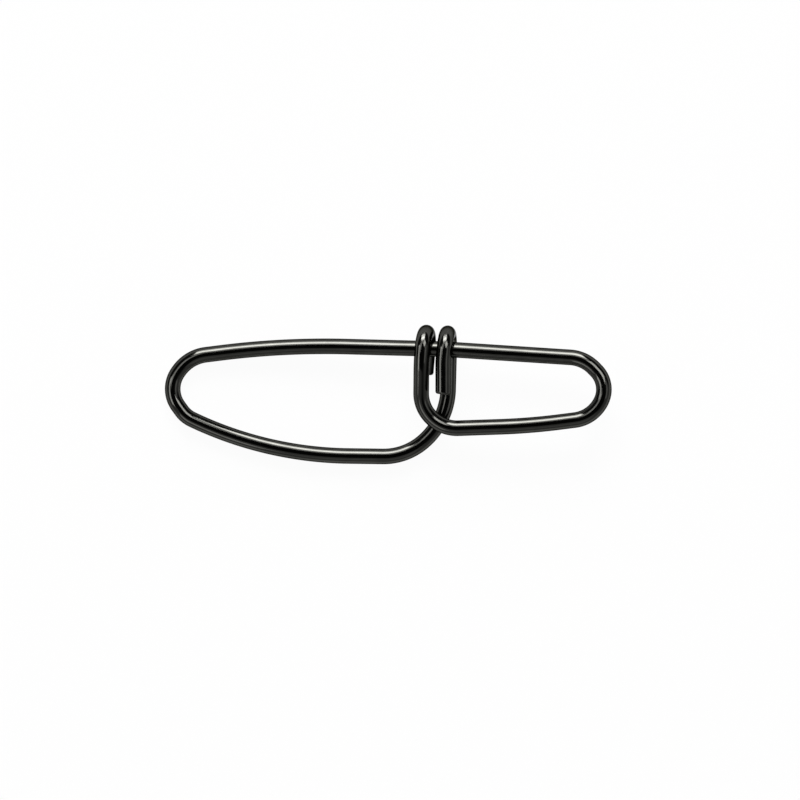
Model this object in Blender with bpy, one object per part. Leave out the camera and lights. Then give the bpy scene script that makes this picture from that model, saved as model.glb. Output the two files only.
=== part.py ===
# Crosslock snap: one length of round spring wire, bent into a large loop and a small eye.
# The wire's two ends cross each other and close over the straight spine as hooks.
# It lies on its side, as it comes to rest: +X towards the small eye, +Z up from the surface.

from math import cos, pi, radians, sin, sqrt, tan

import bpy
from mathutils import Matrix, Vector

MM = 0.001

# Driving dimensions, in millimetres, and the cut's slant in degrees. Places are on the wire's
# centreline, measured from the point of the spine that is half way between the two hooks: along
# the spine, and down from it.

WIRE_DIAMETER = 1.27
END_ROUNDING = 0.20
CUT_SLANT = 9.0

# Hooks
HOOK_GAP = 0.03
HOOK_SEPARATION = 0.44
EYE_HOOK_SLANT = 0.44
EYE_HOOK_TAIL = 2.15
EYE_HOOK_TAIL_LEAN = 0.30
LOOP_HOOK_SLANT = 0.30
LOOP_HOOK_LEAN = 0.22
LOOP_HOOK_LEAN_DROP = 0.90
LOOP_HOOK_LEAN_RADIUS = 6.0
LOOP_HOOK_TAIL = 3.70

# Small eye
EYE_LENGTH = 13.82
EYE_DEPTH = 6.50
EYE_LEG_LEAN = 0.19
EYE_LEG_FOOT_DROP = 0.95
EYE_LEG_FOOT_LEAN = 0.05
EYE_LEG_RADIUS = 6.0
EYE_CORNER_RADIUS = 2.85
EYE_ARM_BOW_AT = 7.47
EYE_ARM_BOW_RISE = 0.30
EYE_ARM_BOW_RADIUS = 53.0
EYE_NOSE_LOW_INSET = 1.25
EYE_NOSE_LOW_DROP = 5.55
EYE_NOSE_LOW_RADIUS = 2.75
EYE_NOSE_DROP = 2.85
EYE_NOSE_RADIUS = 2.15
EYE_NOSE_HIGH_INSET = 1.98
EYE_NOSE_HIGH_DROP = 0.77
EYE_NOSE_HIGH_RADIUS = 2.9

# Spine
SPINE_BEND_AT = 0.52
SPINE_BEND_DROP = 0.03
SPINE_BEND_RADIUS = 48.0
SPINE_BOW_AT = 12.38
SPINE_BOW_RISE = 0.31
SPINE_BOW_RADIUS = 68.0

# Large loop
LOOP_LENGTH = 21.86
LOOP_DEPTH = 8.70
LOOP_NOSE_HIGH_INSET = 1.85
LOOP_NOSE_HIGH_DROP = 0.65
LOOP_NOSE_HIGH_RADIUS = 3.1
LOOP_NOSE_DROP = 3.25
LOOP_NOSE_RADIUS = 2.35
LOOP_NOSE_LOW_INSET = 1.60
LOOP_NOSE_LOW_DROP = 5.45
LOOP_NOSE_LOW_RADIUS = 2.3
LOOP_ARM_BOW_INSET = 8.10
LOOP_ARM_BOW_RISE = 0.15
LOOP_ARM_BOW_RADIUS = 31.0
LOOP_BELLY_AT = 2.58
LOOP_BELLY_RADIUS = 5.0
LOOP_LEG_LEAN = 0.18
LOOP_LEG_FOOT_DROP = 5.88
LOOP_LEG_RADIUS = 5.9

# How finely the wire is faceted
CHORD_ERROR = 0.003
SECTION_BEVEL_RESOLUTION = 6
END_ROUNDING_STEPS = 3
WELD_DISTANCE = 0.001

# Sizes that follow from the ones above
WIRE_RADIUS = WIRE_DIAMETER / 2
LAP = WIRE_DIAMETER + HOOK_GAP
HOOK_OFFSET = (WIRE_DIAMETER + HOOK_SEPARATION) / 2
FLOOR_LAYER = WIRE_RADIUS
SPINE_SLOPE = LAP / (LOOP_LENGTH - LOOP_NOSE_HIGH_INSET - HOOK_OFFSET)


def spine_height(along):
    """Height of the plane that holds the spine and the small eye. It rises from the large loop's
    nose, which lies on the surface, and clears the wire that passes under it at the first hook."""
    return FLOOR_LAYER + LAP + SPINE_SLOPE * (along + HOOK_OFFSET)


def spine_drop(along):
    """How far down the spine lies at a place on either side of its bend."""
    past_bend = along - SPINE_BEND_AT
    if past_bend > 0:
        run = EYE_LENGTH - EYE_NOSE_HIGH_INSET - SPINE_BEND_AT
        return SPINE_BEND_DROP + (EYE_NOSE_HIGH_DROP - SPINE_BEND_DROP) * past_bend / run
    run = SPINE_BEND_AT + SPINE_BOW_AT
    return SPINE_BEND_DROP + (SPINE_BOW_RISE + SPINE_BEND_DROP) * past_bend / run


def bend(along, drop, height, radius=0.0):
    """One bend of the wire: where the straight stretches would meet, and the bend's radius."""
    return Vector((along, -drop, height)), radius


def eye_hook():
    """The end that comes up from the small eye in front of the spine and closes behind it."""
    back = -HOOK_OFFSET + EYE_HOOK_SLANT / 2
    front = -HOOK_OFFSET - EYE_HOOK_SLANT / 2
    crown = spine_drop(-HOOK_OFFSET) - LAP
    over_spine = spine_height(-HOOK_OFFSET) + LAP
    return [
        bend(back - EYE_HOOK_TAIL_LEAN, EYE_HOOK_TAIL, FLOOR_LAYER),
        bend(back, crown, FLOOR_LAYER, LAP),
        bend(front, crown, over_spine, LAP),
        bend(front - EYE_LEG_LEAN, EYE_LEG_FOOT_DROP, over_spine, EYE_LEG_RADIUS),
    ]


def small_eye():
    """From the crossing, along the lower arm and round the eye's nose."""
    corner = -HOOK_OFFSET - EYE_HOOK_SLANT / 2 - EYE_LEG_LEAN - EYE_LEG_FOOT_LEAN
    nose_low = EYE_LENGTH - EYE_NOSE_LOW_INSET
    nose_high = EYE_LENGTH - EYE_NOSE_HIGH_INSET
    bow_drop = EYE_DEPTH - EYE_ARM_BOW_RISE
    return [
        bend(corner, EYE_DEPTH, spine_height(corner), EYE_CORNER_RADIUS),
        bend(EYE_ARM_BOW_AT, bow_drop, spine_height(EYE_ARM_BOW_AT), EYE_ARM_BOW_RADIUS),
        bend(nose_low, EYE_NOSE_LOW_DROP, spine_height(nose_low), EYE_NOSE_LOW_RADIUS),
        bend(EYE_LENGTH, EYE_NOSE_DROP, spine_height(EYE_LENGTH), EYE_NOSE_RADIUS),
        bend(nose_high, EYE_NOSE_HIGH_DROP, spine_height(nose_high), EYE_NOSE_HIGH_RADIUS),
    ]


def spine():
    """The nearly straight back of the snap, which both hooks close over."""
    return [
        bend(SPINE_BEND_AT, SPINE_BEND_DROP, spine_height(SPINE_BEND_AT), SPINE_BEND_RADIUS),
        bend(-SPINE_BOW_AT, -SPINE_BOW_RISE, spine_height(-SPINE_BOW_AT), SPINE_BOW_RADIUS),
    ]


def large_loop():
    """Round the large nose and back along the bowed lower arm, which lies on the surface."""
    nose_high = LOOP_LENGTH - LOOP_NOSE_HIGH_INSET
    nose_low = LOOP_LENGTH - LOOP_NOSE_LOW_INSET
    arm_bow = LOOP_LENGTH - LOOP_ARM_BOW_INSET
    return [
        bend(-nose_high, LOOP_NOSE_HIGH_DROP, FLOOR_LAYER, LOOP_NOSE_HIGH_RADIUS),
        bend(-LOOP_LENGTH, LOOP_NOSE_DROP, FLOOR_LAYER, LOOP_NOSE_RADIUS),
        bend(-nose_low, LOOP_NOSE_LOW_DROP, FLOOR_LAYER, LOOP_NOSE_LOW_RADIUS),
        bend(-arm_bow, LOOP_DEPTH - LOOP_ARM_BOW_RISE, FLOOR_LAYER, LOOP_ARM_BOW_RADIUS),
        bend(-LOOP_BELLY_AT, LOOP_DEPTH, FLOOR_LAYER, LOOP_BELLY_RADIUS),
    ]


def loop_hook():
    """The end that comes up from the large loop behind the spine and closes in front of it."""
    back = HOOK_OFFSET + LOOP_HOOK_SLANT / 2
    front = HOOK_OFFSET - LOOP_HOOK_SLANT / 2
    crown = spine_drop(HOOK_OFFSET) - LAP
    over_spine = spine_height(HOOK_OFFSET) + LAP
    crown_radius = (over_spine - FLOOR_LAYER) / 2
    return [
        bend(back - LOOP_LEG_LEAN, LOOP_LEG_FOOT_DROP, FLOOR_LAYER, LOOP_LEG_RADIUS),
        bend(back, crown, FLOOR_LAYER, crown_radius),
        bend(front, crown, over_spine, crown_radius),
        bend(front - LOOP_HOOK_LEAN, LOOP_HOOK_LEAN_DROP, over_spine, LOOP_HOOK_LEAN_RADIUS),
        bend(front - LOOP_HOOK_LEAN, LOOP_HOOK_TAIL, over_spine),
    ]


def tangent_lengths(corners, radii):
    """How much of each straight the bend at its end takes. Bends that meet share the straight."""
    wanted = [0.0]
    for before, corner, after, radius in zip(corners, corners[1:], corners[2:], radii[1:-1]):
        turn = (corner - before).angle(after - corner)
        wanted.append(radius * tan(turn / 2))
    wanted.append(0.0)
    share = [1.0] * len(corners)
    for i in range(len(corners) - 1):
        needed = wanted[i] + wanted[i + 1]
        fits = min(1.0, (corners[i + 1] - corners[i]).length / max(needed, 1e-9))
        share[i] = min(share[i], fits)
        share[i + 1] = min(share[i + 1], fits)
    return [length * part for length, part in zip(wanted, share)]


def arc(before, corner, after, tangent):
    """Points of the round bend that touches both straights at the tangent length."""
    towards_before = (before - corner).normalized()
    towards_after = (after - corner).normalized()
    turn = pi - towards_before.angle(towards_after)
    radius = tangent / tan(turn / 2)
    start = corner + towards_before * tangent
    middle = corner + (towards_before + towards_after).normalized() * radius / cos(turn / 2)
    spoke = (start - middle).normalized()
    steps = max(2, round(turn / (2 * sqrt(2 * CHORD_ERROR / radius))))
    angles = [turn * step / steps for step in range(steps + 1)]
    return [middle + radius * (cos(a) * spoke - sin(a) * towards_before) for a in angles]


def centreline(bends):
    """The wire's centreline: its two cut ends, and an arc in place of each bend between them."""
    corners = [place for place, radius in bends]
    tangents = tangent_lengths(corners, [radius for place, radius in bends])
    points = [corners[0]]
    for i in range(1, len(corners) - 1):
        points += arc(corners[i - 1], corners[i], corners[i + 1], tangents[i])
    points.append(corners[-1])
    return without_repeats(points)


def without_repeats(points):
    """Where two arcs meet with no straight between them, the point that they share is kept once."""
    kept = [points[0]]
    for point in points[1:]:
        if (point - kept[-1]).length > CHORD_ERROR:
            kept.append(point)
    return kept


def cut_end(tip, neighbour, slant):
    """The wire's radius from a cut end's slanted face back to where its rounded rim begins."""
    backwards = (neighbour - tip).normalized()
    rim = tip + backwards * END_ROUNDING
    outwards = Matrix.Rotation(radians(slant), 3, "Z") @ -backwards
    quarter = [pi / 2 * step / END_ROUNDING_STEPS for step in range(END_ROUNDING_STEPS + 1)]
    return [
        (rim + outwards * END_ROUNDING * cos(a), WIRE_RADIUS - END_ROUNDING * (1 - sin(a)))
        for a in quarter
    ]


def with_cut_ends(points):
    """Each point with the wire's radius there. The cut faces turn a little towards each other."""
    start = cut_end(points[0], points[1], CUT_SLANT)
    end = cut_end(points[-1], points[-2], -CUT_SLANT)
    return start + [(point, WIRE_RADIUS) for point in points[1:-1]] + end[::-1]


def middle_of(values):
    return (min(values) + max(values)) / 2


def black_nickel():
    """Dark, glossy plating."""
    material = bpy.data.materials.new("black_nickel_wire")
    material.use_nodes = True
    shader = material.node_tree.nodes["Principled BSDF"]
    shader.inputs["Base Color"].default_value = (0.055, 0.055, 0.052, 1.0)
    shader.inputs["Metallic"].default_value = 1.0
    shader.inputs["Roughness"].default_value = 0.16
    return material


def snap_wire(collection):
    """The wire itself, a round section swept along its centreline."""
    points = centreline(eye_hook() + small_eye() + spine() + large_loop() + loop_hook())
    sections = with_cut_ends(points)
    curve = bpy.data.curves.new("snap_wire", "CURVE")
    curve.dimensions = "3D"
    curve.bevel_depth = WIRE_RADIUS * MM
    curve.bevel_resolution = SECTION_BEVEL_RESOLUTION
    curve.use_fill_caps = True
    spline = curve.splines.new("POLY")
    spline.points.add(len(sections) - 1)
    for spline_point, (point, radius) in zip(spline.points, sections):
        spline_point.co = (*(point * MM), 1.0)
        spline_point.radius = radius / WIRE_RADIUS
    spline.use_smooth = True
    curve.materials.append(black_nickel())

    wire = bpy.data.objects.new("snap_wire", curve)
    wire.location.x = -middle_of([point.x for point in points]) * MM
    wire.location.y = -middle_of([point.y for point in points]) * MM
    collection.objects.link(wire)

    weld = wire.modifiers.new("join_caps", "WELD")
    weld.merge_threshold = WELD_DISTANCE * MM
    return wire


def main():
    for old in list(bpy.data.objects):
        bpy.data.objects.remove(old, do_unlink=True)
    collection = bpy.data.collections.new("crosslock_snap")
    bpy.context.scene.collection.children.link(collection)
    snap_wire(collection)


main()
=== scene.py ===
from math import ceil, cos, pi, radians, sin, sqrt, tan

import bpy
from mathutils import Matrix, Vector


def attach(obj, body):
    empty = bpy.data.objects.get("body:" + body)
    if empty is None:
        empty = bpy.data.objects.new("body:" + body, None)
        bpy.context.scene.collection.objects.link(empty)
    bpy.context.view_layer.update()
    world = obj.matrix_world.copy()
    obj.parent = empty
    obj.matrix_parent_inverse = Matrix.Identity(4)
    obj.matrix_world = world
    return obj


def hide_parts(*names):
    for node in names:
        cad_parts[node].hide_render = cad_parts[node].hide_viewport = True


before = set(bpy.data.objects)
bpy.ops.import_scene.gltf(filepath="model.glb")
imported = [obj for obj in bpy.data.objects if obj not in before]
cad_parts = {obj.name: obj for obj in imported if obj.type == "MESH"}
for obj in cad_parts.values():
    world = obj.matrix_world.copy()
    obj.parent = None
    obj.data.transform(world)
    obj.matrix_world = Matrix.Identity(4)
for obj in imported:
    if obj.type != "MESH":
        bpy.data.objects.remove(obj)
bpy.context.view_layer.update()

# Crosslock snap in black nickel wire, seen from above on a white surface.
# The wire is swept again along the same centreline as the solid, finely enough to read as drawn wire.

MM = 0.001

# The wire's sizes, in millimetres, and the cut's slant in degrees. Places are on the wire's
# centreline, measured from the point of the spine that is half way between the two hooks: along
# the spine, and down from it.

WIRE_DIAMETER = 1.27
END_ROUNDING = 0.20
CUT_SLANT = 9.0

# Hooks
HOOK_GAP = 0.03
HOOK_SEPARATION = 0.44
EYE_HOOK_SLANT = 0.44
EYE_HOOK_TAIL = 2.15
EYE_HOOK_TAIL_LEAN = 0.30
LOOP_HOOK_SLANT = 0.30
LOOP_HOOK_LEAN = 0.22
LOOP_HOOK_LEAN_DROP = 0.90
LOOP_HOOK_LEAN_RADIUS = 6.0
LOOP_HOOK_TAIL = 3.70

# Small eye
EYE_LENGTH = 13.82
EYE_DEPTH = 6.50
EYE_LEG_LEAN = 0.19
EYE_LEG_FOOT_DROP = 0.95
EYE_LEG_FOOT_LEAN = 0.05
EYE_LEG_RADIUS = 6.0
EYE_CORNER_RADIUS = 2.85
EYE_ARM_BOW_AT = 7.47
EYE_ARM_BOW_RISE = 0.30
EYE_ARM_BOW_RADIUS = 53.0
EYE_NOSE_LOW_INSET = 1.25
EYE_NOSE_LOW_DROP = 5.55
EYE_NOSE_LOW_RADIUS = 2.75
EYE_NOSE_DROP = 2.85
EYE_NOSE_RADIUS = 2.15
EYE_NOSE_HIGH_INSET = 1.98
EYE_NOSE_HIGH_DROP = 0.77
EYE_NOSE_HIGH_RADIUS = 2.9

# Spine
SPINE_BEND_AT = 0.52
SPINE_BEND_DROP = 0.03
SPINE_BEND_RADIUS = 48.0
SPINE_BOW_AT = 12.38
SPINE_BOW_RISE = 0.31
SPINE_BOW_RADIUS = 68.0

# Large loop
LOOP_LENGTH = 21.86
LOOP_DEPTH = 8.70
LOOP_NOSE_HIGH_INSET = 1.85
LOOP_NOSE_HIGH_DROP = 0.65
LOOP_NOSE_HIGH_RADIUS = 3.1
LOOP_NOSE_DROP = 3.25
LOOP_NOSE_RADIUS = 2.35
LOOP_NOSE_LOW_INSET = 1.60
LOOP_NOSE_LOW_DROP = 5.45
LOOP_NOSE_LOW_RADIUS = 2.3
LOOP_ARM_BOW_INSET = 8.10
LOOP_ARM_BOW_RISE = 0.15
LOOP_ARM_BOW_RADIUS = 31.0
LOOP_BELLY_AT = 2.58
LOOP_BELLY_RADIUS = 5.0
LOOP_LEG_LEAN = 0.18
LOOP_LEG_FOOT_DROP = 5.88
LOOP_LEG_RADIUS = 5.9

# How finely the wire is made here. The crease angle is in degrees.
CHORD_ERROR = 0.0004
LONGEST_STEP = 0.25
FEWEST_ARC_STEPS = 2
SECTION_SIDES = 48
END_ROUNDING_STEPS = 4
CREASE_ANGLE = 40.0

# Sizes that follow from the ones above
WIRE_RADIUS = WIRE_DIAMETER / 2
LAP = WIRE_DIAMETER + HOOK_GAP
HOOK_OFFSET = (WIRE_DIAMETER + HOOK_SEPARATION) / 2
FLOOR_LAYER = WIRE_RADIUS
SPINE_SLOPE = LAP / (LOOP_LENGTH - LOOP_NOSE_HIGH_INSET - HOOK_OFFSET)

# The photograph: how wide its frame is at the snap, and where the spine's measuring point falls in it
IMAGE_SIZE_PX = 800
MM_PER_PX = 0.0805
ORIGIN_IN_IMAGE_PX = (437.15, 348.75)

# The camera, in millimetres
LENS = 500.0
SENSOR = 36.0
NEAREST_SEEN = 5.0

# The stage, in metres
FLOOR_SIZE = 4.0
LAMP_DISTANCE = 1.1

# The white surface: its paint, and how much of its look is a plain white glow
SURFACE_PAINT = (0.95, 0.95, 0.95)
WHITE_SHARE = 0.96

# The dome's tones. Its bands go by how nearly a direction points overhead.
WHITE = (1.0, 1.0, 1.0)
BLACK = (0.015, 0.015, 0.015)
GREY_DARK = (0.045, 0.045, 0.045)
GREY_HIGH = (0.14, 0.14, 0.14)
GREY_MIDDLE = (0.28, 0.28, 0.28)
GREY_LOW = (0.34, 0.34, 0.34)
DOME_BANDS = [
    (0.55, GREY_LOW),
    (0.70, GREY_MIDDLE),
    (0.80, GREY_HIGH),
    (0.87, GREY_DARK),
    (0.95, BLACK),
]

# Directions in the dome, how softly and how far it darkens behind the snap, and its white horizon
UP = (0.0, 0.0, 1.0)
OVERHEAD = (0.0, -0.1, 0.995)
BEHIND = (-0.148, 0.989, 0.0)
BEHIND_BLUR = 0.14
BEHIND_SHARE = 0.92
HORIZON_WHITE_TO = 0.05
HORIZON_GONE_AT = 0.09

# The plating's tones, and the tint that dims what it reflects at a grazing angle
PLATING_DARK = (0.051, 0.051, 0.047)
PLATING_LIGHT = (0.065, 0.065, 0.060)
PLATING_LINE = (0.078, 0.078, 0.072)
PLATING_HAZE = (0.072, 0.072, 0.067)
EDGE_TINT = (0.3, 0.3, 0.3)

# How noise is drawn out along the wire to make draw lines
DRAW_LINE_STRETCH = (1, 1, 0.03)

# The plating's roughness in polished and duller patches, and what lines, haze and a cut add to it
POLISHED_ROUGHNESS = 0.08
DULLER_ROUGHNESS = 0.11
LINE_ROUGHNESS = 0.04
HAZE_ROUGHNESS = 0.04
CUT_ROUGHNESS = 0.22

# The plating's relief, its height in millimetres, and how strong haze and a cut's grain are in it
RELIEF_STRENGTH = 0.3
RELIEF_HEIGHT = 0.001
HAZE_RELIEF = 0.5
CUT_RELIEF = 12.0


def spine_height(along):
    """Height of the sloping plane that holds the spine and the small eye."""
    return FLOOR_LAYER + LAP + SPINE_SLOPE * (along + HOOK_OFFSET)


def spine_drop(along):
    """How far down the spine lies at a place on either side of its bend."""
    past_bend = along - SPINE_BEND_AT
    if past_bend > 0:
        run = EYE_LENGTH - EYE_NOSE_HIGH_INSET - SPINE_BEND_AT
        return SPINE_BEND_DROP + (EYE_NOSE_HIGH_DROP - SPINE_BEND_DROP) * past_bend / run
    run = SPINE_BEND_AT + SPINE_BOW_AT
    return SPINE_BEND_DROP + (SPINE_BOW_RISE + SPINE_BEND_DROP) * past_bend / run


def bend(along, drop, height, radius=0.0):
    """One bend of the wire: where the straight stretches would meet, and the bend's radius."""
    return Vector((along, -drop, height)), radius


def eye_hook():
    """The end that comes up from the small eye in front of the spine and closes behind it."""
    back = -HOOK_OFFSET + EYE_HOOK_SLANT / 2
    front = -HOOK_OFFSET - EYE_HOOK_SLANT / 2
    crown = spine_drop(-HOOK_OFFSET) - LAP
    over_spine = spine_height(-HOOK_OFFSET) + LAP
    return [
        bend(back - EYE_HOOK_TAIL_LEAN, EYE_HOOK_TAIL, FLOOR_LAYER),
        bend(back, crown, FLOOR_LAYER, LAP),
        bend(front, crown, over_spine, LAP),
        bend(front - EYE_LEG_LEAN, EYE_LEG_FOOT_DROP, over_spine, EYE_LEG_RADIUS),
    ]


def small_eye():
    """From the crossing, along the lower arm and round the eye's nose."""
    corner = -HOOK_OFFSET - EYE_HOOK_SLANT / 2 - EYE_LEG_LEAN - EYE_LEG_FOOT_LEAN
    nose_low = EYE_LENGTH - EYE_NOSE_LOW_INSET
    nose_high = EYE_LENGTH - EYE_NOSE_HIGH_INSET
    bow_drop = EYE_DEPTH - EYE_ARM_BOW_RISE
    return [
        bend(corner, EYE_DEPTH, spine_height(corner), EYE_CORNER_RADIUS),
        bend(EYE_ARM_BOW_AT, bow_drop, spine_height(EYE_ARM_BOW_AT), EYE_ARM_BOW_RADIUS),
        bend(nose_low, EYE_NOSE_LOW_DROP, spine_height(nose_low), EYE_NOSE_LOW_RADIUS),
        bend(EYE_LENGTH, EYE_NOSE_DROP, spine_height(EYE_LENGTH), EYE_NOSE_RADIUS),
        bend(nose_high, EYE_NOSE_HIGH_DROP, spine_height(nose_high), EYE_NOSE_HIGH_RADIUS),
    ]


def spine():
    """The nearly straight back of the snap, which both hooks close over."""
    return [
        bend(SPINE_BEND_AT, SPINE_BEND_DROP, spine_height(SPINE_BEND_AT), SPINE_BEND_RADIUS),
        bend(-SPINE_BOW_AT, -SPINE_BOW_RISE, spine_height(-SPINE_BOW_AT), SPINE_BOW_RADIUS),
    ]


def large_loop():
    """Round the large nose and back along the bowed lower arm, which lies on the surface."""
    nose_high = LOOP_LENGTH - LOOP_NOSE_HIGH_INSET
    nose_low = LOOP_LENGTH - LOOP_NOSE_LOW_INSET
    arm_bow = LOOP_LENGTH - LOOP_ARM_BOW_INSET
    return [
        bend(-nose_high, LOOP_NOSE_HIGH_DROP, FLOOR_LAYER, LOOP_NOSE_HIGH_RADIUS),
        bend(-LOOP_LENGTH, LOOP_NOSE_DROP, FLOOR_LAYER, LOOP_NOSE_RADIUS),
        bend(-nose_low, LOOP_NOSE_LOW_DROP, FLOOR_LAYER, LOOP_NOSE_LOW_RADIUS),
        bend(-arm_bow, LOOP_DEPTH - LOOP_ARM_BOW_RISE, FLOOR_LAYER, LOOP_ARM_BOW_RADIUS),
        bend(-LOOP_BELLY_AT, LOOP_DEPTH, FLOOR_LAYER, LOOP_BELLY_RADIUS),
    ]


def loop_hook():
    """The end that comes up from the large loop behind the spine and closes in front of it."""
    back = HOOK_OFFSET + LOOP_HOOK_SLANT / 2
    front = HOOK_OFFSET - LOOP_HOOK_SLANT / 2
    crown = spine_drop(HOOK_OFFSET) - LAP
    over_spine = spine_height(HOOK_OFFSET) + LAP
    crown_radius = (over_spine - FLOOR_LAYER) / 2
    return [
        bend(back - LOOP_LEG_LEAN, LOOP_LEG_FOOT_DROP, FLOOR_LAYER, LOOP_LEG_RADIUS),
        bend(back, crown, FLOOR_LAYER, crown_radius),
        bend(front, crown, over_spine, crown_radius),
        bend(front - LOOP_HOOK_LEAN, LOOP_HOOK_LEAN_DROP, over_spine, LOOP_HOOK_LEAN_RADIUS),
        bend(front - LOOP_HOOK_LEAN, LOOP_HOOK_TAIL, over_spine),
    ]


def tangent_lengths(corners, radii):
    """How much of each straight the bend at its end takes. Bends that meet share the straight."""
    wanted = [0.0]
    for before, corner, after, radius in zip(corners, corners[1:], corners[2:], radii[1:-1]):
        turn = (corner - before).angle(after - corner)
        wanted.append(radius * tan(turn / 2))
    wanted.append(0.0)
    share = [1.0] * len(corners)
    for i in range(len(corners) - 1):
        needed = wanted[i] + wanted[i + 1]
        straight = (corners[i + 1] - corners[i]).length
        fits = min(1.0, straight / needed) if needed else 1.0
        share[i] = min(share[i], fits)
        share[i + 1] = min(share[i + 1], fits)
    return [length * part for length, part in zip(wanted, share)]


def arc(before, corner, after, tangent):
    """Points of the round bend that touches both straights at the tangent length. Its steps are
    about as wide as the chord error allows."""
    towards_before = (before - corner).normalized()
    towards_after = (after - corner).normalized()
    turn = pi - towards_before.angle(towards_after)
    radius = tangent / tan(turn / 2)
    start = corner + towards_before * tangent
    middle = corner + (towards_before + towards_after).normalized() * radius / cos(turn / 2)
    spoke = (start - middle).normalized()
    widest_step = 2 * sqrt(2 * CHORD_ERROR / radius)
    steps = max(FEWEST_ARC_STEPS, round(turn / widest_step))
    angles = [turn * step / steps for step in range(steps + 1)]
    return [middle + radius * (cos(a) * spoke - sin(a) * towards_before) for a in angles]


def centreline(bends):
    """The wire's centreline: its two cut ends, and an arc in place of each bend between them."""
    corners = [place for place, radius in bends]
    tangents = tangent_lengths(corners, [radius for place, radius in bends])
    points = [corners[0]]
    for i in range(1, len(corners) - 1):
        points += arc(corners[i - 1], corners[i], corners[i + 1], tangents[i])
    points.append(corners[-1])
    return evenly_stepped(points)


def evenly_stepped(points):
    """The same line with no doubled points, and with none of its steps long."""
    stepped = [points[0]]
    for point in points[1:]:
        run = point - stepped[-1]
        if run.length <= CHORD_ERROR:
            continue
        start = stepped[-1]
        parts = ceil(run.length / LONGEST_STEP)
        stepped += [start + run * part / parts for part in range(1, parts + 1)]
    return stepped


def middle_of(values):
    return (min(values) + max(values)) / 2


def in_part_frame(points):
    """The centreline moved to the part's frame, whose origin is under the middle of the snap, and
    how far it was moved."""
    shift = Vector((middle_of([p.x for p in points]), middle_of([p.y for p in points]), 0))
    return [p - shift for p in points], shift


def cut_end(tip, neighbour, slant):
    """The wire's radius from a cut end's slanted face back to where its rounded rim begins."""
    backwards = (neighbour - tip).normalized()
    rim = tip + backwards * END_ROUNDING
    outwards = Matrix.Rotation(radians(slant), 3, "Z") @ -backwards
    quarter = [pi / 2 * step / END_ROUNDING_STEPS for step in range(END_ROUNDING_STEPS + 1)]
    return [
        (rim + outwards * END_ROUNDING * cos(a), WIRE_RADIUS - END_ROUNDING * (1 - sin(a)))
        for a in quarter
    ]


def with_cut_ends(points):
    """Each point with the wire's radius there. The cut faces turn a little towards each other."""
    start = cut_end(points[0], points[1], CUT_SLANT)
    end = cut_end(points[-1], points[-2], -CUT_SLANT)
    return start + [(point, WIRE_RADIUS) for point in points[1:-1]] + end[::-1]


def bend_tightness(before, place, after):
    """0 on a straight, and 1 where the wire is bent as tightly as on a hook's crown."""
    arriving, leaving = place - before, after - place
    if not arriving.length or not leaving.length:
        return 0.0
    turn = arriving.angle(leaving)
    return min(1.0, 2 * turn / (arriving.length + leaving.length) * LAP)


def wire_points(sections):
    """A ring of points round each place, carried along the line without twisting. With them goes
    what the plating depends on: each point's place in the drawn wire, how tightly the wire is bent
    there, and whether the point belongs to a cut face."""
    places = [place for place, radius in sections]
    side = Vector((0, 0, 1))
    along = 0.0
    vertices, drawn, worked, cut = [], [], [], []
    for i, (place, radius) in enumerate(sections):
        before, after = places[max(i - 1, 0)], places[min(i + 1, len(places) - 1)]
        ahead = (after - before).normalized()
        side = (side - ahead * side.dot(ahead)).normalized()
        other = ahead.cross(side)
        along += (place - before).length
        worked += [bend_tightness(before, place, after)] * SECTION_SIDES
        cut += [float(radius < WIRE_RADIUS)] * SECTION_SIDES
        for k in range(SECTION_SIDES):
            turn = 2 * pi * k / SECTION_SIDES
            around = radius * Vector((cos(turn), sin(turn), 0))
            vertices.append((place + around.x * side + around.y * other) * MM)
            drawn.append((around.x, around.y, along))
    return vertices, drawn, worked, cut


def wire_faces(rings):
    """Four-sided faces from each ring of points to the next, and one face over each cut end."""
    faces = []
    for i in range(rings - 1):
        for k in range(SECTION_SIDES):
            here = i * SECTION_SIDES + k
            beside = i * SECTION_SIDES + (k + 1) % SECTION_SIDES
            faces.append((here, beside, beside + SECTION_SIDES, here + SECTION_SIDES))
    first_face = tuple(reversed(range(SECTION_SIDES)))
    last_face = tuple(range((rings - 1) * SECTION_SIDES, rings * SECTION_SIDES))
    return faces + [first_face, last_face]


def swept_wire(name, sections):
    """The wire as one closed mesh: a round section carried along the line."""
    vertices, drawn, worked, cut = wire_points(sections)
    mesh = bpy.data.meshes.new(name)
    mesh.from_pydata(vertices, [], wire_faces(len(sections)))
    mesh.shade_smooth()
    mesh.set_sharp_from_angle(angle=radians(CREASE_ANGLE))
    put_attribute(mesh, "drawn", "FLOAT_VECTOR", "vector", drawn)
    put_attribute(mesh, "worked", "FLOAT", "value", worked)
    put_attribute(mesh, "cut", "FLOAT", "value", cut)
    wire = bpy.data.objects.new(name, mesh)
    bpy.context.scene.collection.objects.link(wire)
    return wire


def put_attribute(mesh, name, kind, key, values):
    """Stores one value for each point of the mesh, for the material to read."""
    attribute = mesh.attributes.new(name, kind, "POINT")
    for item, value in zip(attribute.data, values):
        setattr(item, key, value)


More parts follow.
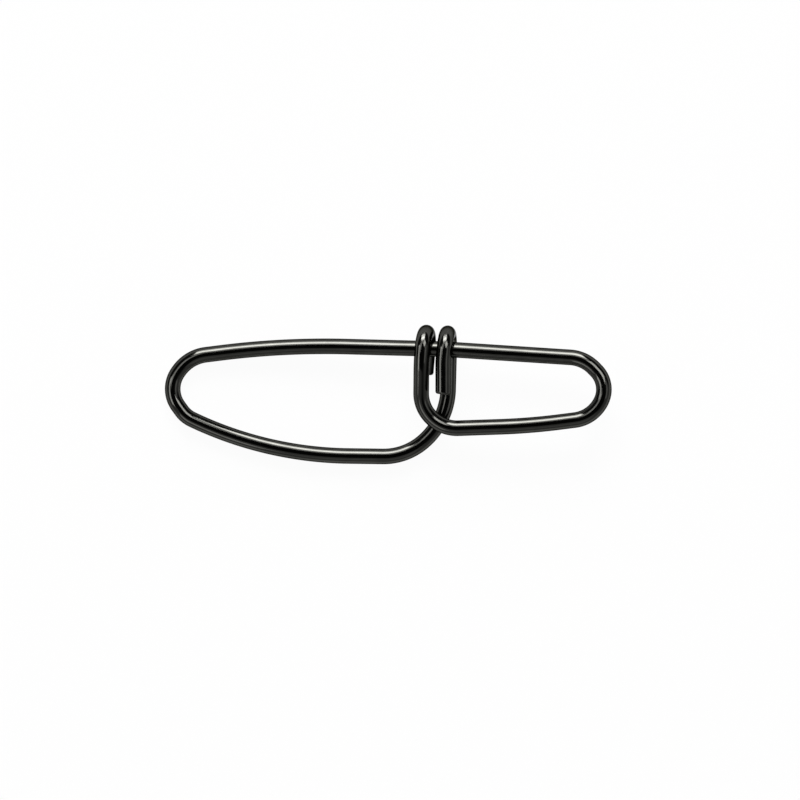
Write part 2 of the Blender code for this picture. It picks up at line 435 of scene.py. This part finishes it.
class Nodes:
    """Short words for building one node tree."""

    def __init__(self, tree):
        self.tree = tree

    def add(self, kind, **settings):
        node = self.tree.nodes.new(kind)
        for key, value in settings.items():
            setattr(node, key, value)
        return node

    def feed(self, socket, value):
        """Links an output to the socket, or sets a plain value on it."""
        if isinstance(value, bpy.types.NodeSocket):
            self.tree.links.new(value, socket)
        else:
            socket.default_value = value

    def attribute(self, name, output):
        return self.add("ShaderNodeAttribute", attribute_name=name).outputs[output]

    def noise(self, place, scale, detail, roughness=0.5):
        node = self.add("ShaderNodeTexNoise")
        self.feed(node.inputs["Vector"], place)
        self.feed(node.inputs["Scale"], scale)
        self.feed(node.inputs["Detail"], detail)
        self.feed(node.inputs["Roughness"], roughness)
        return node.outputs["Fac"]

    def stretched(self, place, scales):
        node = self.add("ShaderNodeVectorMath", operation="MULTIPLY")
        self.feed(node.inputs[0], place)
        self.feed(node.inputs[1], scales)
        return node.outputs["Vector"]

    def dot(self, direction, axis):
        node = self.add("ShaderNodeVectorMath", operation="DOT_PRODUCT")
        self.feed(node.inputs[0], direction)
        self.feed(node.inputs[1], axis)
        return node.outputs["Value"]

    def math(self, operation, first, second=0.0, clamp=False):
        node = self.add("ShaderNodeMath", operation=operation, use_clamp=clamp)
        self.feed(node.inputs[0], first)
        self.feed(node.inputs[1], second)
        return node.outputs["Value"]

    def between(self, value, start, end, low=0.0, high=1.0):
        """Goes smoothly from low to high while the value goes from start to end."""
        node = self.add("ShaderNodeMapRange", interpolation_type="SMOOTHSTEP")
        self.feed(node.inputs["Value"], value)
        self.feed(node.inputs["From Min"], start)
        self.feed(node.inputs["From Max"], end)
        self.feed(node.inputs["To Min"], low)
        self.feed(node.inputs["To Max"], high)
        return node.outputs["Result"]

    def ramp(self, value, stops):
        node = self.add("ShaderNodeValToRGB")
        elements = node.color_ramp.elements
        while len(elements) < len(stops):
            elements.new(0.5)
        for element, (position, colour) in zip(elements, stops):
            element.position = position
            element.color = (*colour, 1)
        self.feed(node.inputs["Fac"], value)
        return node.outputs["Color"]

    def mix(self, share, first, second):
        node = self.add("ShaderNodeMix", data_type="RGBA")
        self.feed(node.inputs["Factor"], share)
        self.feed(node.inputs["A"], first)
        self.feed(node.inputs["B"], second)
        return node.outputs["Result"]


def black_nickel():
    """Glossy black nickel over drawn spring wire: nearly black and a little warm. Fine draw lines
    run along the wire, the plating is hazier and mottled where it is bent tightly, and the cut
    faces keep the rough grain of the shear."""
    material = bpy.data.materials.new("black_nickel")
    material.use_nodes = True
    nodes = Nodes(material.node_tree)
    shader = material.node_tree.nodes["Principled BSDF"]
    shader.inputs["Metallic"].default_value = 1.0
    shader.inputs["Specular Tint"].default_value = (*EDGE_TINT, 1)

    drawn = nodes.attribute("drawn", "Vector")
    cut = nodes.attribute("cut", "Fac")
    draw_lines = nodes.noise(nodes.stretched(drawn, DRAW_LINE_STRETCH), scale=14.0, detail=3.0)
    patches = nodes.noise(drawn, scale=0.9, detail=4.0)
    grain = nodes.noise(drawn, scale=9.0, detail=3.0, roughness=0.6)
    bent = nodes.between(nodes.attribute("worked", "Fac"), start=0.25, end=0.9)
    haze = nodes.math("MULTIPLY", bent, nodes.between(grain, start=0.45, end=0.65))

    nodes.feed(shader.inputs["Base Color"], plating_tone(nodes, draw_lines, patches, haze))
    nodes.feed(shader.inputs["Roughness"], plating_roughness(nodes, draw_lines, patches, haze, cut))
    nodes.feed(shader.inputs["Normal"], plating_relief(nodes, draw_lines, grain, haze, cut))
    return material


def plating_tone(nodes, draw_lines, patches, haze):
    """Darker and lighter patches, with paler draw lines on them and a pale haze in tight bends."""
    tone = nodes.ramp(patches, [(0.30, PLATING_DARK), (0.70, PLATING_LIGHT)])
    line_share = nodes.between(draw_lines, start=0.52, end=0.75, high=0.25)
    lined = nodes.mix(line_share, tone, (*PLATING_LINE, 1))
    return nodes.mix(haze, lined, (*PLATING_HAZE, 1))


def plating_roughness(nodes, draw_lines, patches, haze, cut):
    """The polish varies from patch to patch, and draw lines, haze and the cuts are duller."""
    polish = nodes.between(patches, start=0.3, end=0.7, low=POLISHED_ROUGHNESS, high=DULLER_ROUGHNESS)
    scored = nodes.math("ADD", polish, nodes.between(draw_lines, start=0.5, end=0.75, high=LINE_ROUGHNESS))
    hazed = nodes.math("ADD", scored, nodes.math("MULTIPLY", haze, HAZE_ROUGHNESS))
    return nodes.math("ADD", hazed, nodes.math("MULTIPLY", cut, CUT_ROUGHNESS))


def plating_relief(nodes, draw_lines, grain, haze, cut):
    """Fine ridges along the wire, a shallow unevenness in tight bends, and torn grain on the cuts."""
    relief = nodes.add("ShaderNodeBump")
    relief.inputs["Strength"].default_value = RELIEF_STRENGTH
    relief.inputs["Distance"].default_value = RELIEF_HEIGHT * MM
    marked = nodes.math("ADD", draw_lines, nodes.math("MULTIPLY", haze, HAZE_RELIEF))
    torn = nodes.math("MULTIPLY", nodes.math("MULTIPLY", cut, grain), CUT_RELIEF)
    nodes.feed(relief.inputs["Height"], nodes.math("ADD", marked, torn))
    return relief.outputs["Normal"]


def white_surface():
    """White to the camera and in reflections, while it keeps a little of the snap's shadow."""
    material = bpy.data.materials.new("white_surface")
    material.use_nodes = True
    nodes = Nodes(material.node_tree)
    nodes.tree.nodes.remove(nodes.tree.nodes["Principled BSDF"])
    rays = nodes.add("ShaderNodeLightPath")
    seen = nodes.math("ADD", rays.outputs["Is Camera Ray"], rays.outputs["Is Glossy Ray"], clamp=True)
    seen_at_all = nodes.math("ADD", seen, rays.outputs["Is Transmission Ray"], clamp=True)
    paint = nodes.add("ShaderNodeBsdfDiffuse")
    paint.inputs["Color"].default_value = (*SURFACE_PAINT, 1)
    glow = nodes.add("ShaderNodeEmission")
    mixed = nodes.add("ShaderNodeMixShader")
    nodes.feed(mixed.inputs["Fac"], nodes.math("MULTIPLY", seen_at_all, WHITE_SHARE))
    nodes.feed(mixed.inputs[1], paint.outputs["BSDF"])
    nodes.feed(mixed.inputs[2], glow.outputs["Emission"])
    nodes.feed(nodes.tree.nodes["Material Output"].inputs["Surface"], mixed.outputs["Shader"])
    return material


def floor():
    bpy.ops.mesh.primitive_plane_add(size=FLOOR_SIZE)
    surface = bpy.context.active_object
    surface.name = "surface"
    surface.data.materials.append(white_surface())


def dome():
    """A dim studio: dark overhead and behind the snap, grey in front of it, white at the horizon."""
    world = bpy.data.worlds.new("studio")
    bpy.context.scene.world = world
    world.use_nodes = True
    nodes = Nodes(world.node_tree)
    direction = nodes.add("ShaderNodeTexCoord").outputs["Generated"]
    behind = nodes.dot(direction, BEHIND)
    height = nodes.math("ABSOLUTE", nodes.dot(direction, UP))
    front = nodes.ramp(nodes.dot(direction, OVERHEAD), DOME_BANDS)
    dark_share = nodes.between(behind, start=-BEHIND_BLUR, end=BEHIND_BLUR, high=BEHIND_SHARE)
    shaded = nodes.mix(dark_share, front, (*BLACK, 1))
    horizon = nodes.between(height, start=HORIZON_WHITE_TO, end=HORIZON_GONE_AT, low=1.0, high=0.0)
    background = world.node_tree.nodes["Background"]
    nodes.feed(background.inputs["Color"], nodes.mix(horizon, shaded, (*WHITE, 1)))


def softbox(name, azimuth, elevation, across, tall, radiance):
    """A rectangular lamp that faces the snap from a bearing (0 is +X, 90 is +Y) and a height,
    and spans so many degrees across and up."""
    width = 2 * LAMP_DISTANCE * cos(radians(elevation)) * tan(radians(across / 2))
    height = 2 * LAMP_DISTANCE * tan(radians(tall / 2))
    towards = Vector((
        cos(radians(elevation)) * cos(radians(azimuth)),
        cos(radians(elevation)) * sin(radians(azimuth)),
        sin(radians(elevation)),
    ))
    lamp = bpy.data.lights.new(name, "AREA")
    lamp.shape = "RECTANGLE"
    lamp.size = width
    lamp.size_y = height
    lamp.energy = radiance * pi * width * height
    holder = bpy.data.objects.new(name, lamp)
    holder.location = towards * LAMP_DISTANCE
    holder.rotation_euler = towards.to_track_quat("Z", "Y").to_euler()
    bpy.context.scene.collection.objects.link(holder)
    return holder


def card(*arguments, **settings):
    """A softbox that is only seen in gloss and lights nothing else, as a reflector card is."""
    softbox(*arguments, **settings).visible_diffuse = False


def lights():
    """One softbox behind the snap, brightest in its middle, and cards for the wire to reflect."""
    softbox("back_softbox", azimuth=94, elevation=33, across=47, tall=32, radiance=6.5)
    softbox("back_softbox_core", azimuth=94, elevation=36, across=45, tall=11, radiance=7.8)
    softbox("back_softbox_glow", azimuth=94, elevation=35, across=47, tall=56, radiance=2.0)
    card("right_card", azimuth=43, elevation=56, across=42, tall=26, radiance=5.6)
    card("right_card_low", azimuth=0, elevation=45, across=40, tall=18, radiance=0.7)
    card("left_card_high", azimuth=150, elevation=58, across=44, tall=20, radiance=2.2)
    card("left_card", azimuth=184, elevation=43, across=50, tall=19, radiance=3.6)
    card("left_card_low", azimuth=237, elevation=37, across=36, tall=18, radiance=1.3)
    card("front_card", azimuth=262, elevation=47, across=80, tall=34, radiance=0.27)


def camera(shift, height):
    """Straight above, on a long lens, framed as the photograph is."""
    centre = IMAGE_SIZE_PX / 2
    x = -shift.x + (centre - ORIGIN_IN_IMAGE_PX[0]) * MM_PER_PX
    y = -shift.y - (centre - ORIGIN_IN_IMAGE_PX[1]) * MM_PER_PX
    view_width = IMAGE_SIZE_PX * MM_PER_PX
    distance = view_width * LENS / SENSOR
    lens = bpy.data.cameras.new("camera")
    lens.lens = LENS
    lens.sensor_width = SENSOR
    lens.clip_start = NEAREST_SEEN * MM
    holder = bpy.data.objects.new("camera", lens)
    holder.location = Vector((x, y, height + distance)) * MM
    bpy.context.scene.collection.objects.link(holder)
    bpy.context.scene.camera = holder


def main():
    route = eye_hook() + small_eye() + spine() + large_loop() + loop_hook()
    points, shift = in_part_frame(centreline(route))
    wire = swept_wire("black_nickel_wire", with_cut_ends(points))
    wire.data.materials.append(black_nickel())
    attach(wire, "root")
    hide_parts("snap_wire")
    floor()
    dome()
    lights()
    camera(shift, FLOOR_LAYER + LAP)
    bpy.context.scene.view_settings.view_transform = "Standard"


main()
